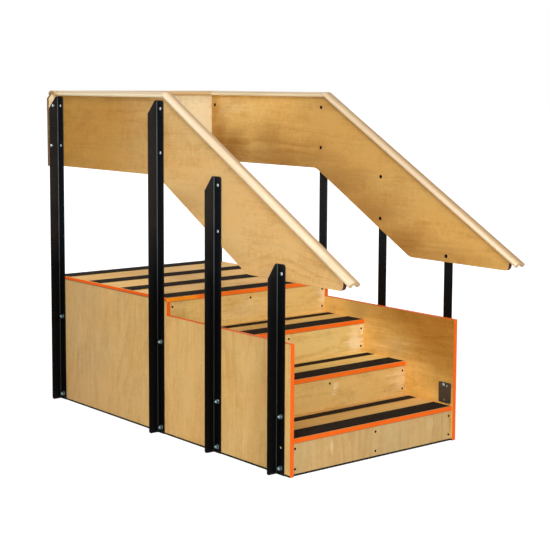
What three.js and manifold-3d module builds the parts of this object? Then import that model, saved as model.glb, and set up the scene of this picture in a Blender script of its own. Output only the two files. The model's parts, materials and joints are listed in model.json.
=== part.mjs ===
// A free-standing training staircase: a plywood step box with three treads and a platform,
// eight steel angle posts, plywood rail panels at both sides and the back, and cap handrails.
// Millimetres, +Z up, +X to the right of someone facing the steps, +Y from the first step back.
import * as THREE from 'three';
import { mergeVertices } from 'three/addons/utils/BufferGeometryUtils.js';
import Module from 'manifold-3d';

const wasm = await Module();
wasm.setup();

// Step box
const PLY = 18;
const CLEAR_WIDTH = 900;
const RISE = 152;
const RISE_COUNT = 4;
const FIRST_GOING = 287;
const GOING = 275;
const DECK_LENGTH = 926;
const NOSING_INSET = 5;
const NOSING_OVERHANG = 5;
const SIDE_STEP = 58;
const CARRIAGE_THICKNESS = 30;
const CARRIAGE_TAIL = 60;
const BASE_STRIP = 8;
const EDGE_BAND = 2;

// Anti-slip strips
const GRIP_THICKNESS = 1;
const GRIP_WIDE = 100;
const GRIP_NARROW = 50;
const GRIP_SETBACK = 6;
const GRIP_TO_RISER = 32;
const GRIP_END_GAP = 5;
const DECK_GRIP_COUNT = 4;

// Angle posts: one flange lies on the panels, the other stands outward at its back edge
const FLANGE = 50;
const FLANGE_THICKNESS = 3;
const FLANGE_FILLET = 4;
const POST_ROUND = 12;
const POST_CHAMFER_OUT = 37;
const POST_CHAMFER_DOWN = 57;
const FRONT_POST_Y = 82;
const LOWER_POST_Y = 495;
const BEND_POST_Y = 908;
const FRONT_POST_LAP = 65;
const LOWER_POST_DROP = 115;
const BEND_POST_DROP = 12;
const REAR_POST_DROP = 4;

// Rail panels
const RAIL_RUN = 1000;
const RAIL_FALL = 570;
const RAIL_DEPTH = 336;
const RAIL_BEND_SETBACK = 10;
const RAIL_FRONT_Y = -298;
const RAIL_NOSE_DEPTH = 46;
const RAIL_NOSE_RADIUS = 24;
const RAIL_CORNER_CUT = 9;
const BACK_CHAMFER_OUT = 20;
const BACK_CHAMFER_DOWN = 23;

// Cap handrails
const CAP_OVER_DECK = 868;
const CAP_BEND_LEAD = 58;
const CAP_OVERHANG = 47;
const CAP_WIDTH = 56;
const CAP_HEIGHT = 24;
const CAP_SIDE = 10;
const CAP_ROUND = 9;
const GROOVE_DEPTH = 10;
const LIP_CHAMFER = 4;

// Fasteners and their holes
const BOLT_DIAMETER = 10;
const RAIL_BOLT_DIAMETER = 8;
const SCREW_DIAMETER = 4;
const HOLE_CLEARANCE = 0.6;
const FIT = 0.3;
const ROUND_SIDES = 10;
const HEX_SIDES = 6;
const ARC_SIDES = 6;
const CROWN_ARCS = 3;
const BOLT_EDGE = 25;
const BOLT_FOOT = 28;
const BOLT_HEAD = 19;
const BOLT_DOME = 5;
const BOLT_END = 6;
const WASHER_DIAMETER = 21;
const WASHER_THICKNESS = 2;
const NUT_CORNERS = 19;
const NUT_HEIGHT = 8;
const SCREW_INSET = 15;
const SCREW_LOW = 28;
const SCREW_HIGH = 110;
const REAR_BOLT_Z = 410;
const LOWER_BOLT_Z = 220;
const SPARE_HOLE_Z = 111;
const RAIL_BOLT_DROP = 48;
const RAIL_BOLT_PITCH = 190;
const LOWER_BOLT_DROP = 36;
const FRONT_BOLT_LAP = 26;
const BACK_UPPER_BOLT_OUT = 28;
const BACK_LOWER_BOLT_OUT = 38;

// Backing plates behind the front posts' upper bolts
const PLATE_THICKNESS = 3;
const PLATE_LEAD = 70;
const PLATE_LENGTH = 72;
const PLATE_LOW_Z = 160;
const PLATE_HEIGHT = 90;
const PLATE_ROUND = 8;
const PLATE_SCREW_FRONT = 22;
const PLATE_SCREW_DOWN = 14;
const PLATE_SCREW_MIDDLE = 37;
const PLATE_SCREW_UP = 12;

// Places that follow from the sizes above
const INNER_X = CLEAR_WIDTH / 2;
const OUTER_X = INNER_X + PLY;
const FLANGE_X = OUTER_X + FLANGE_THICKNESS;
const FLANGE_EDGE_X = OUTER_X + FLANGE;
const CARRIAGE_X = INNER_X - CARRIAGE_THICKNESS;
const SCREW_X = INNER_X - SCREW_INSET;
const DECK_TOP = RISE * RISE_COUNT;
const DECK_UNDERSIDE = DECK_TOP - PLY;
const SIDE_LOW_HEIGHT = DECK_UNDERSIDE - SIDE_STEP;
const LAST_NOSING = NOSING_INSET + FIRST_GOING + GOING * (RISE_COUNT - 2);
const BACK_Y = LAST_NOSING + DECK_LENGTH;
const BACK_PANEL_Y = BACK_Y - PLY;
const REAR_POST_Y = BACK_PANEL_Y - FLANGE_THICKNESS;
const RAIL_SLOPE = RAIL_FALL / RAIL_RUN;
const RAIL_PITCH = Math.atan(RAIL_SLOPE);
const MITRE = Math.tan(RAIL_PITCH / 2);
const PANEL_SEAT = GROOVE_DEPTH - FIT;
const CAP_LIP_Z = DECK_TOP + CAP_OVER_DECK;
const CAP_BEND_Y = BEND_POST_Y - CAP_BEND_LEAD;
const CAP_END_Y = RAIL_FRONT_Y - CAP_OVERHANG;
const BACK_CAP_Y = BACK_PANEL_Y + PLY / 2;
const BACK_CAP_FRONT_Y = BACK_CAP_Y - CAP_WIDTH / 2;
const BACK_CAP_REAR_Y = BACK_CAP_Y + CAP_WIDTH / 2;
const PLATE_FRONT_Y = FRONT_POST_Y - PLATE_LEAD;
const PLATE_TOP = PLATE_LOW_Z + PLATE_HEIGHT;

// Height of the cap's lips beside the steps, and the panels' lower edges below it
const lipZ = (y) => CAP_LIP_Z - (CAP_BEND_Y - y) * RAIL_SLOPE;
const RAIL_BOTTOM = CAP_LIP_Z - RAIL_DEPTH;
const RAIL_LOW_BOTTOM = lipZ(RAIL_FRONT_Y) - RAIL_NOSE_DEPTH;
const RAIL_BEND_Y = BEND_POST_Y + RAIL_BEND_SETBACK;
const RAIL_KINK_Y = RAIL_BEND_Y - (RAIL_BOTTOM - RAIL_LOW_BOTTOM) / RAIL_SLOPE;
const UPPER_RAIL_BOLT_Z = CAP_LIP_Z - RAIL_BOLT_DROP;
const LOWER_RAIL_BOLT_Z = UPPER_RAIL_BOLT_Z - RAIL_BOLT_PITCH;
const LOWER_POST_TOP = lipZ(LOWER_POST_Y) - LOWER_POST_DROP;
const SLOPE_BOLT_Z = LOWER_POST_TOP - LOWER_BOLT_DROP;

// Materials
const standard = (color, roughness, metalness) =>
  new THREE.MeshStandardMaterial({ color, roughness, metalness });
const plywood = standard(0xd6ac6b, 0.5, 0);
const solidWood = standard(0xecd0a4, 0.42, 0);
const orangeBand = standard(0xfa6919, 0.45, 0);
const blackSteel = standard(0x141416, 0.42, 0.3);
const gripTape = standard(0x28221f, 0.9, 0);
const blackRubber = standard(0x111111, 0.8, 0);
const zinc = standard(0x96a5aa, 0.35, 0.9);
const plateSteel = standard(0x4b3e37, 0.5, 0.6);

// A three.js geometry as a manifold solid, and back
function toSolid(geometry) {
  const bare = geometry.clone();
  bare.deleteAttribute('normal');
  bare.deleteAttribute('uv');
  const merged = mergeVertices(bare);
  const vertProperties = new Float32Array(merged.attributes.position.array);
  const triVerts = new Uint32Array(merged.index.array);
  return new wasm.Manifold(new wasm.Mesh({ numProp: 3, vertProperties, triVerts }));
}

function toGeometry(solid) {
  const mesh = solid.getMesh();
  const geometry = new THREE.BufferGeometry();
  geometry.setAttribute('position', new THREE.BufferAttribute(new Float32Array(mesh.vertProperties), 3));
  geometry.setIndex(new THREE.BufferAttribute(new Uint32Array(mesh.triVerts), 1));
  geometry.computeVertexNormals();
  return geometry;
}

function cut(geometry, cutters) {
  return toGeometry(cutters.reduce((solid, cutter) => solid.subtract(toSolid(cutter)), toSolid(geometry)));
}

function join(first, ...others) {
  return toGeometry(others.reduce((solid, other) => solid.add(toSolid(other)), toSolid(first)));
}

// A board from its lowest to its highest corner
function board(x0, x1, y0, y1, z0, z1) {
  const geometry = new THREE.BoxGeometry(x1 - x0, y1 - y0, z1 - z0);
  return geometry.translate((x0 + x1) / 2, (y0 + y1) / 2, (z0 + z1) / 2);
}

function outline(points) {
  return new THREE.Shape(points.map(([u, v]) => new THREE.Vector2(u, v)));
}

function extruded(shape, depth) {
  return new THREE.ExtrudeGeometry(shape, { depth, bevelEnabled: false, curveSegments: ARC_SIDES });
}

// An outline drawn in Y and Z, thick along X from x0
function alongX(shape, x0, thickness) {
  const turn = new THREE.Matrix4().makeBasis(
    new THREE.Vector3(0, 1, 0),
    new THREE.Vector3(0, 0, 1),
    new THREE.Vector3(1, 0, 0),
  );
  return extruded(shape, thickness).applyMatrix4(turn).translate(x0, 0, 0);
}

// An outline drawn in X and Z, thick along Y from y0
function alongY(shape, y0, thickness) {
  return extruded(shape, thickness).rotateX(Math.PI / 2).translate(0, y0 + thickness, 0);
}

// The same solid on the other side of the YZ plane, its faces still pointing out
function mirrored(geometry) {
  const source = geometry.index ? geometry.toNonIndexed() : geometry.clone();
  const corners = source.attributes.position;
  const flipped = new Float32Array(corners.count * 3);
  for (let first = 0; first < corners.count; first += 3) {
    [first, first + 2, first + 1].forEach((from, step) => {
      const to = (first + step) * 3;
      flipped[to] = -corners.getX(from);
      flipped[to + 1] = corners.getY(from);
      flipped[to + 2] = corners.getZ(from);
    });
  }
  const result = new THREE.BufferGeometry();
  result.setAttribute('position', new THREE.BufferAttribute(flipped, 3));
  const merged = mergeVertices(result);
  merged.computeVertexNormals();
  return merged;
}

// A closed profile of radius and distance pairs, turned round an axis through the origin
function turnedX(profile) {
  return turnedY(profile).rotateZ(-Math.PI / 2);
}

function turnedY(profile) {
  const points = profile.map(([radius, along]) => new THREE.Vector2(radius, along));
  return new THREE.LatheGeometry(points, ROUND_SIDES);
}

function drill(diameter, from, to) {
  const radius = diameter / 2 + HOLE_CLEARANCE;
  return [[0, from], [radius, from], [radius, to], [0, to]];
}

const holesAlongX = (places, diameter, from, to) =>
  places.map(([y, z]) => turnedX(drill(diameter, from, to)).translate(0, y, z));
const holesAlongY = (places, diameter, from, to) =>
  places.map(([x, z]) => turnedY(drill(diameter, from, to)).translate(x, 0, z));

const stair = new THREE.Group();

function add(name, geometry, material) {
  const mesh = new THREE.Mesh(geometry, material);
  mesh.name = name;
  stair.add(mesh);
}

// Adds a piece made for the right side, and its mirror at the left
function addPair(name, geometry, material) {
  add(`right_${name}`, geometry, material);
  add(`left_${name}`, mirrored(geometry), material);
}

// Places of step k, counted from 1 at the floor; the last step is the platform
const nosingY = (k) => (k === 1 ? NOSING_INSET : NOSING_INSET + FIRST_GOING + GOING * (k - 2));
const riserY = (k) => nosingY(k) + NOSING_OVERHANG;
const riserBackY = (k) => riserY(k) + PLY;
const stepTop = (k) => RISE * k;
const riserFoot = (k) => (k === 1 ? BASE_STRIP : stepTop(k - 1));
const stepNumbers = Array.from({ length: RISE_COUNT }, (_, index) => index + 1);
const treadNumbers = stepNumbers.slice(0, -1);

// The posts from front to back, with the heights of their upper base bolt and rail bolts
const posts = [
  {
    name: 'front',
    y: FRONT_POST_Y,
    top: RAIL_LOW_BOTTOM + FRONT_POST_LAP,
    upper: PLATE_TOP - PLATE_SCREW_DOWN,
    rail: [RAIL_LOW_BOTTOM + FRONT_BOLT_LAP],
  },
  {
    name: 'lower',
    y: LOWER_POST_Y,
    top: LOWER_POST_TOP,
    upper: LOWER_BOLT_Z,
    rail: [SLOPE_BOLT_Z - RAIL_BOLT_PITCH, SLOPE_BOLT_Z],
  },
  {
    name: 'bend',
    y: BEND_POST_Y,
    top: CAP_LIP_Z - BEND_POST_DROP,
    upper: REAR_BOLT_Z,
    rail: [LOWER_RAIL_BOLT_Z, UPPER_RAIL_BOLT_Z],
  },
  {
    name: 'rear',
    y: REAR_POST_Y,
    top: CAP_LIP_Z - REAR_POST_DROP,
    upper: REAR_BOLT_Z,
    rail: [LOWER_RAIL_BOLT_Z, UPPER_RAIL_BOLT_Z],
  },
];
const boltY = (post) => post.y - BOLT_EDGE;
const baseHoles = (post) => [BOLT_FOOT, post.upper].map((z) => [boltY(post), z]);
const railHoles = (post) => post.rail.map((z) => [boltY(post), z]);
const backHoles = [
  [OUTER_X + BACK_UPPER_BOLT_OUT, UPPER_RAIL_BOLT_Z],
  [OUTER_X + BACK_LOWER_BOLT_OUT, LOWER_RAIL_BOLT_Z],
];
const plateHoles = [
  [PLATE_FRONT_Y + PLATE_SCREW_FRONT, PLATE_TOP - PLATE_SCREW_DOWN],
  [PLATE_FRONT_Y + PLATE_SCREW_MIDDLE, PLATE_LOW_Z + PLATE_SCREW_UP],
];

// The upright side of the step box, lower beside the steps than under the platform
function sidePanel() {
  const low = SIDE_LOW_HEIGHT - EDGE_BAND;
  const shape = outline([
    [EDGE_BAND, BASE_STRIP],
    [BACK_Y, BASE_STRIP],
    [BACK_Y, DECK_UNDERSIDE],
    [LAST_NOSING + EDGE_BAND, DECK_UNDERSIDE],
    [LAST_NOSING + EDGE_BAND, low],
    [EDGE_BAND, low],
  ]);
  const boltHoles = holesAlongX(posts.flatMap(baseHoles), BOLT_DIAMETER, CARRIAGE_X, FLANGE_EDGE_X);
  const screwHoles = holesAlongX(plateHoles, SCREW_DIAMETER, CARRIAGE_X, INNER_X + PLY / 2);
  return cut(alongX(shape, INNER_X, PLY), [...boltHoles, ...screwHoles]);
}

// Orange band up the front edge, along the low top edge and up to the platform
function sideEdgeBand() {
  const low = SIDE_LOW_HEIGHT - EDGE_BAND;
  const shape = outline([
    [0, 0],
    [EDGE_BAND, 0],
    [EDGE_BAND, low],
    [LAST_NOSING + EDGE_BAND, low],
    [LAST_NOSING + EDGE_BAND, DECK_UNDERSIDE],
    [LAST_NOSING, DECK_UNDERSIDE],
    [LAST_NOSING, SIDE_LOW_HEIGHT],
    [0, SIDE_LOW_HEIGHT],
  ]);
  return alongX(shape, INNER_X, PLY);
}

// Two screws at each end of a riser and one in its middle; the first has a second one there
function riser(k) {
  const panel = board(-INNER_X, INNER_X, riserY(k), riserBackY(k), riserFoot(k), stepTop(k) - PLY);
  const low = stepTop(k - 1) + SCREW_LOW;
  const high = stepTop(k - 1) + SCREW_HIGH;
  const places = [[-SCREW_X, low], [SCREW_X, low], [-SCREW_X, high], [0, high], [SCREW_X, high]];
  if (k === 1) places.push([0, low]);
  return cut(panel, holesAlongY(places, SCREW_DIAMETER, nosingY(k), riserBackY(k) + PLY));
}

function tread(k) {
  return board(-INNER_X, INNER_X, nosingY(k) + EDGE_BAND, riserBackY(k + 1), stepTop(k) - PLY, stepTop(k));
}

function nosingBand(k) {
  return board(-INNER_X, INNER_X, nosingY(k), nosingY(k) + EDGE_BAND, stepTop(k) - PLY, stepTop(k));
}

function platformDeck() {
  const half = OUTER_X - EDGE_BAND;
  return board(-half, half, LAST_NOSING + EDGE_BAND, BACK_Y, DECK_UNDERSIDE, DECK_TOP);
}

// Orange band round the platform's front and side edges
function deckEdgeBand() {
  const half = OUTER_X - EDGE_BAND;
  const shape = outline([
    [-OUTER_X, LAST_NOSING],
    [OUTER_X, LAST_NOSING],
    [OUTER_X, BACK_Y],
    [half, BACK_Y],
    [half, LAST_NOSING + EDGE_BAND],
    [-half, LAST_NOSING + EDGE_BAND],
    [-half, BACK_Y],
    [-OUTER_X, BACK_Y],
  ]);
  return extruded(shape, PLY).translate(0, 0, DECK_UNDERSIDE);
}

// A stepped board under treads and platform, from the first riser back to backY
function steppedBoard(backY, x0, thickness) {
  const points = [[riserBackY(1), BASE_STRIP], [backY, BASE_STRIP], [backY, DECK_UNDERSIDE]];
  for (const k of [...stepNumbers].reverse()) {
    points.push([riserBackY(k), stepTop(k) - PLY]);
    if (k > 1) {
      points.push([riserBackY(k), stepTop(k - 1) - PLY]);
    }
  }
  return alongX(outline(points), x0, thickness);
}

function centreRib() {
  return steppedBoard(BACK_PANEL_Y, -PLY / 2, PLY);
}

// The carriage inside each side panel, which the risers are screwed to
function carriage() {
  const backY = riserBackY(RISE_COUNT) + CARRIAGE_TAIL;
  const holes = posts.flatMap(baseHoles).filter(([y]) => y < backY);
  return cut(
    steppedBoard(backY, CARRIAGE_X, CARRIAGE_THICKNESS),
    holesAlongX(holes, BOLT_DIAMETER, CARRIAGE_X - PLY, OUTER_X),
  );
}

function gripStrip(halfWidth, frontY, width, top) {
  return board(-halfWidth, halfWidth, frontY, frontY + width, top, top + GRIP_THICKNESS);
}

// Each tread has a wide strip at its nosing and a narrow one near the next riser
function addTreadGrips(k) {
  const half = INNER_X - GRIP_END_GAP;
  const narrowY = riserY(k + 1) - GRIP_TO_RISER - GRIP_NARROW;
  add(`tread_${k}_grip_wide`, gripStrip(half, nosingY(k) + GRIP_SETBACK, GRIP_WIDE, stepTop(k)), gripTape);
  add(`tread_${k}_grip_narrow`, gripStrip(half, narrowY, GRIP_NARROW, stepTop(k)), gripTape);
}

// The platform's strips are evenly spaced from its nosing to its back edge
function addDeckGrips() {
  const half = OUTER_X - EDGE_BAND - GRIP_END_GAP;
  const firstY = LAST_NOSING + GRIP_SETBACK;
  const pitch = (BACK_Y - GRIP_WIDE - firstY) / (DECK_GRIP_COUNT - 1);
  for (let strip = 0; strip < DECK_GRIP_COUNT; strip += 1) {
    add(`deck_grip_${strip + 1}`, gripStrip(half, firstY + pitch * strip, GRIP_WIDE, DECK_TOP), gripTape);
  }
}

// The flange against the panels, its front top corner rounded
function flatFlange(post) {
  const backY = post.y + FLANGE_THICKNESS;
  const frontY = backY - FLANGE;
  const shape = new THREE.Shape();
  shape.moveTo(frontY, 0);
  shape.lineTo(backY, 0);
  shape.lineTo(backY, post.top);
  shape.absarc(frontY + POST_ROUND, post.top - POST_ROUND, POST_ROUND, Math.PI / 2, Math.PI, false);
  return alongX(shape, OUTER_X, FLANGE_THICKNESS);
}

// The flange that stands outward, chamfered at the top and rounded at the foot
function proudFlange(post) {
  const shape = new THREE.Shape();
  shape.moveTo(OUTER_X, 0);
  shape.lineTo(FLANGE_EDGE_X - POST_ROUND, 0);
  shape.absarc(FLANGE_EDGE_X - POST_ROUND, POST_ROUND, POST_ROUND, -Math.PI / 2, 0, false);
  shape.lineTo(FLANGE_EDGE_X, post.top - POST_CHAMFER_DOWN);
  shape.lineTo(FLANGE_EDGE_X - POST_CHAMFER_OUT, post.top);
  shape.lineTo(OUTER_X, post.top);
  return alongY(shape, post.y, FLANGE_THICKNESS);
}

// The rolled fillet between the two flanges
function flangeFillet(post) {
  const x = FLANGE_X + FLANGE_FILLET;
  const y = post.y - FLANGE_FILLET;
  const shape = new THREE.Shape();
  shape.moveTo(OUTER_X, post.y + FLANGE_THICKNESS);
  shape.lineTo(OUTER_X, y);
  shape.lineTo(FLANGE_X, y);
  shape.absarc(x, y, FLANGE_FILLET, Math.PI, Math.PI / 2, true);
  shape.lineTo(x, post.y + FLANGE_THICKNESS);
  return extruded(shape, post.top);
}

function anglePost(post) {
  const holes = [
    ...holesAlongX(baseHoles(post), BOLT_DIAMETER, INNER_X, FLANGE_EDGE_X),
    ...holesAlongX(railHoles(post), RAIL_BOLT_DIAMETER, INNER_X, FLANGE_EDGE_X),
  ];
  if (post.y === FRONT_POST_Y) {
    holes.push(...holesAlongX([[boltY(post), SPARE_HOLE_Z]], BOLT_DIAMETER, INNER_X, FLANGE_EDGE_X));
  }
  if (post.y === REAR_POST_Y) {
    holes.push(...holesAlongY(backHoles, RAIL_BOLT_DIAMETER, post.y - PLY, BACK_Y));
  }
  return cut(join(flatFlange(post), proudFlange(post), flangeFillet(post)), holes);
}

// Level over the platform, sloping beside the steps, its lower front cut level and rounded
function sideRailPanel() {
  const noseY = RAIL_FRONT_Y + RAIL_NOSE_RADIUS;
  const noseZ = RAIL_LOW_BOTTOM + RAIL_NOSE_RADIUS;
  const notchY = BACK_CAP_FRONT_Y - FIT;
  const fall = RAIL_CORNER_CUT * RAIL_SLOPE;
  const shape = new THREE.Shape();
  shape.moveTo(RAIL_KINK_Y - RAIL_CORNER_CUT, RAIL_LOW_BOTTOM);
  shape.lineTo(RAIL_KINK_Y + RAIL_CORNER_CUT, RAIL_LOW_BOTTOM + fall);
  shape.lineTo(RAIL_BEND_Y - RAIL_CORNER_CUT, RAIL_BOTTOM - fall);
  shape.lineTo(RAIL_BEND_Y + RAIL_CORNER_CUT, RAIL_BOTTOM);
  shape.lineTo(BACK_PANEL_Y, RAIL_BOTTOM);
  shape.lineTo(BACK_PANEL_Y, CAP_LIP_Z - FIT);
  shape.lineTo(notchY, CAP_LIP_Z - FIT);
  shape.lineTo(notchY, CAP_LIP_Z + PANEL_SEAT);
  shape.lineTo(CAP_BEND_Y - PANEL_SEAT * MITRE, CAP_LIP_Z + PANEL_SEAT);
  shape.lineTo(RAIL_FRONT_Y, lipZ(RAIL_FRONT_Y) + PANEL_SEAT / Math.cos(RAIL_PITCH));
  shape.absarc(noseY, noseZ, RAIL_NOSE_RADIUS, Math.PI, Math.PI * 1.5, false);
  return cut(
    alongX(shape, INNER_X, PLY),
    holesAlongX(posts.flatMap(railHoles), RAIL_BOLT_DIAMETER, CARRIAGE_X, FLANGE_EDGE_X),
  );
}

// The panel behind the rear posts, its top corners chamfered
function backRailPanel() {
  const top = CAP_LIP_Z + PANEL_SEAT;
  const chamferX = FLANGE_EDGE_X - BACK_CHAMFER_OUT;
  const shape = outline([
    [-FLANGE_EDGE_X, RAIL_BOTTOM],
    [FLANGE_EDGE_X, RAIL_BOTTOM],
    [FLANGE_EDGE_X, top - BACK_CHAMFER_DOWN],
    [chamferX, top],
    [-chamferX, top],
    [-FLANGE_EDGE_X, top - BACK_CHAMFER_DOWN],
  ]);
  const holes = [...backHoles, ...backHoles.map(([x, z]) => [-x, z])];
  return cut(
    alongY(shape, BACK_PANEL_Y, PLY),
    holesAlongY(holes, RAIL_BOLT_DIAMETER, BACK_CAP_FRONT_Y, BACK_CAP_REAR_Y),
  );
}

// The cap's section: a groove for the panel below, upright sides and a rounded crown
function capSection() {
  const half = CAP_WIDTH / 2;
  const groove = PLY / 2 + FIT;
  const shape = new THREE.Shape();
  shape.moveTo(groove + LIP_CHAMFER, 0);
  shape.lineTo(half - CAP_ROUND, 0);
  shape.absarc(half - CAP_ROUND, CAP_ROUND, CAP_ROUND, -Math.PI / 2, 0, false);
  const arc = Math.PI / CROWN_ARCS;
  for (let part = 0; part < CROWN_ARCS; part += 1) {
    shape.absellipse(0, CAP_SIDE, half, CAP_HEIGHT - CAP_SIDE, arc * part, arc * (part + 1), false, 0);
  }
  shape.absarc(CAP_ROUND - half, CAP_ROUND, CAP_ROUND, Math.PI, Math.PI * 1.5, false);
  shape.lineTo(-groove - LIP_CHAMFER, 0);
  shape.lineTo(-groove, LIP_CHAMFER);
  shape.lineTo(-groove, GROOVE_DEPTH);
  shape.lineTo(groove, GROOVE_DEPTH);
  shape.lineTo(groove, LIP_CHAMFER);
  return shape;
}

// A length of cap along +Y from the origin, lips at z = 0, its ends leaning by the mitres
function capLength(length, frontMitre, backMitre) {
  const geometry = extruded(capSection(), length).rotateX(Math.PI / 2).translate(0, length, 0);
  const position = geometry.attributes.position;
  for (let index = 0; index < position.count; index += 1) {
    const mitre = position.getY(index) < length / 2 ? frontMitre : backMitre;
    position.setY(index, position.getY(index) + mitre * position.getZ(index));
  }
  return geometry;
}

function levelCap() {
  const cap = capLength(BACK_CAP_FRONT_Y - CAP_BEND_Y, -MITRE, 0);
  return cap.translate(INNER_X + PLY / 2, CAP_BEND_Y, CAP_LIP_Z);
}

function slopingCap() {
  const length = (CAP_BEND_Y - CAP_END_Y) / Math.cos(RAIL_PITCH) - FIT;
  const cap = capLength(length, 0, MITRE).translate(0, -length - FIT, 0).rotateX(RAIL_PITCH);
  return cap.translate(INNER_X + PLY / 2, CAP_BEND_Y, CAP_LIP_Z);
}

function backCap() {
  const length = (FLANGE_EDGE_X - BACK_CHAMFER_OUT) * 2;
  return capLength(length, 0, 0).rotateZ(Math.PI / 2).translate(length / 2, BACK_CAP_Y, CAP_LIP_Z);
}

function backingPlate() {
  const front = PLATE_FRONT_Y + PLATE_ROUND;
  const back = PLATE_FRONT_Y + PLATE_LENGTH - PLATE_ROUND;
  const low = PLATE_LOW_Z + PLATE_ROUND;
  const top = PLATE_TOP - PLATE_ROUND;
  const shape = new THREE.Shape();
  shape.absarc(back, low, PLATE_ROUND, -Math.PI / 2, 0, false);
  shape.absarc(back, top, PLATE_ROUND, 0, Math.PI / 2, false);
  shape.absarc(front, top, PLATE_ROUND, Math.PI / 2, Math.PI, false);
  shape.absarc(front, low, PLATE_ROUND, Math.PI, Math.PI * 1.5, false);
  return cut(alongX(shape, INNER_X - PLATE_THICKNESS, PLATE_THICKNESS), [
    ...holesAlongX(baseHoles(posts[0]), BOLT_DIAMETER, CARRIAGE_X, FLANGE_EDGE_X),
    ...holesAlongX(plateHoles, SCREW_DIAMETER, CARRIAGE_X, FLANGE_EDGE_X),
  ]);
}

// What the domed head of a post's upper bolt bears on inside the step box
function boltSeatX(post) {
  if (post.y === FRONT_POST_Y) {
    return INNER_X - PLATE_THICKNESS;
  }
  return post.y === REAR_POST_Y ? INNER_X : CARRIAGE_X;
}

// A post's upper base bolt, from its head inside to its end outside, with the nut done up on it
function postBolt(post) {
  const seat = boltSeatX(post);
  const nutX = FLANGE_X + WASHER_THICKNESS;
  const end = nutX + NUT_HEIGHT + BOLT_END;
  const bolt = turnedX([
    [0, seat - BOLT_DOME],
    [BOLT_HEAD / 4, seat - BOLT_DOME],
    [BOLT_HEAD / 2, seat],
    [BOLT_DIAMETER / 2, seat],
    [BOLT_DIAMETER / 2, end],
    [0, end],
  ]);
  const washer = turnedX([
    [0, FLANGE_X],
    [WASHER_DIAMETER / 2, FLANGE_X],
    [WASHER_DIAMETER / 2, nutX],
    [0, nutX],
  ]);
  const nut = new THREE.CylinderGeometry(NUT_CORNERS / 2, NUT_CORNERS / 2, NUT_HEIGHT, HEX_SIDES);
  nut.rotateZ(Math.PI / 2).translate(nutX + NUT_HEIGHT / 2, 0, 0);
  return join(bolt, washer, nut).translate(0, boltY(post), post.upper);
}

addPair('side_panel', sidePanel(), plywood);
addPair('edge_band', sideEdgeBand(), orangeBand);
addPair('carriage', carriage(), solidWood);
add('centre_rib', centreRib(), plywood);
add('back_wall', board(-INNER_X, INNER_X, BACK_PANEL_Y, BACK_Y, BASE_STRIP, DECK_UNDERSIDE), plywood);
stepNumbers.forEach((k) => add(`riser_${k}`, riser(k), plywood));
treadNumbers.forEach((k) => add(`tread_${k}`, tread(k), plywood));
treadNumbers.forEach((k) => add(`tread_${k}_band`, nosingBand(k), orangeBand));
add('platform_deck', platformDeck(), plywood);
add('deck_edge_band', deckEdgeBand(), orangeBand);
treadNumbers.forEach(addTreadGrips);
addDeckGrips();
addPair('base_strip', board(INNER_X, OUTER_X, EDGE_BAND, BACK_Y, 0, BASE_STRIP), blackRubber);
add('front_base_strip', board(-INNER_X, INNER_X, riserY(1), riserBackY(1), 0, BASE_STRIP), blackRubber);
add('back_base_strip', board(-INNER_X, INNER_X, BACK_PANEL_Y, BACK_Y, 0, BASE_STRIP), blackRubber);
posts.forEach((post) => addPair(`${post.name}_post`, anglePost(post), blackSteel));
posts.forEach((post) => addPair(`${post.name}_post_bolt`, postBolt(post), zinc));
addPair('rail_panel', sideRailPanel(), plywood);
add('back_rail_panel', backRailPanel(), plywood);
addPair('level_cap', levelCap(), solidWood);
addPair('sloping_cap', slopingCap(), solidWood);
add('back_cap', backCap(), solidWood);
addPair('backing_plate', backingPlate(), plateSteel);

// The origin lies on the floor, midway between the handrail's front end and the back cap
const frontMostY = CAP_END_Y - CAP_HEIGHT * Math.sin(RAIL_PITCH);
stair.position.y = -(frontMostY + BACK_CAP_REAR_Y) / 2;

export default stair;
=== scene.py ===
import bpy
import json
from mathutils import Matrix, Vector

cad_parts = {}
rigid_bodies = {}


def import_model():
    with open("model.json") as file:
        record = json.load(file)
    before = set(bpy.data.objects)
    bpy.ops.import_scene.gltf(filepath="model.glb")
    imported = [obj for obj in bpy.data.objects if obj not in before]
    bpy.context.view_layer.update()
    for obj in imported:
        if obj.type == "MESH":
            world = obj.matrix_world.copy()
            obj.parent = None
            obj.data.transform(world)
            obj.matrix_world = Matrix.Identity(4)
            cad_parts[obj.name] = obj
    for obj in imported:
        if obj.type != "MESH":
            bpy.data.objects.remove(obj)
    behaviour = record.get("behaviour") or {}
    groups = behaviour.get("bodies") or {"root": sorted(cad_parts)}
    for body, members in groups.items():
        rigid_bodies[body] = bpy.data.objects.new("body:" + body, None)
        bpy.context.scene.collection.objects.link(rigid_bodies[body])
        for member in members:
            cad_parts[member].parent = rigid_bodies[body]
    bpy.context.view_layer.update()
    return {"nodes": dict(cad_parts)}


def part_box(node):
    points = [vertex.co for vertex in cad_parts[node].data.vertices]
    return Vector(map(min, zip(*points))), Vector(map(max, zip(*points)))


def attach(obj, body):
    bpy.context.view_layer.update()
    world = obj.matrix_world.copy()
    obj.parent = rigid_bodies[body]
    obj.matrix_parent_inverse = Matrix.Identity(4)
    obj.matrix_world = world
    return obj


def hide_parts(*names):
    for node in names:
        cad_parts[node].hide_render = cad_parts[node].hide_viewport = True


for leftover in list(bpy.data.objects):
    bpy.data.objects.remove(leftover)

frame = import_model()

import json
import math

import bmesh
from mathutils import Matrix, Vector

MM = 0.001
WHITE = (1.0, 1.0, 1.0, 1.0)
AXES = {"x": 0, "y": 1, "z": 2}
BOARD_THICKNESS, PLIES = 0.018, 13


def linear(red, green, blue):
    """A colour written as 0 to 255 display values, as the linear colour the shaders take."""
    out = []
    for value in (red, green, blue):
        value = value / 255
        out.append(value / 12.92 if value <= 0.04045 else ((value + 0.055) / 1.055) ** 2.4)
    return (*out, 1.0)


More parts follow.
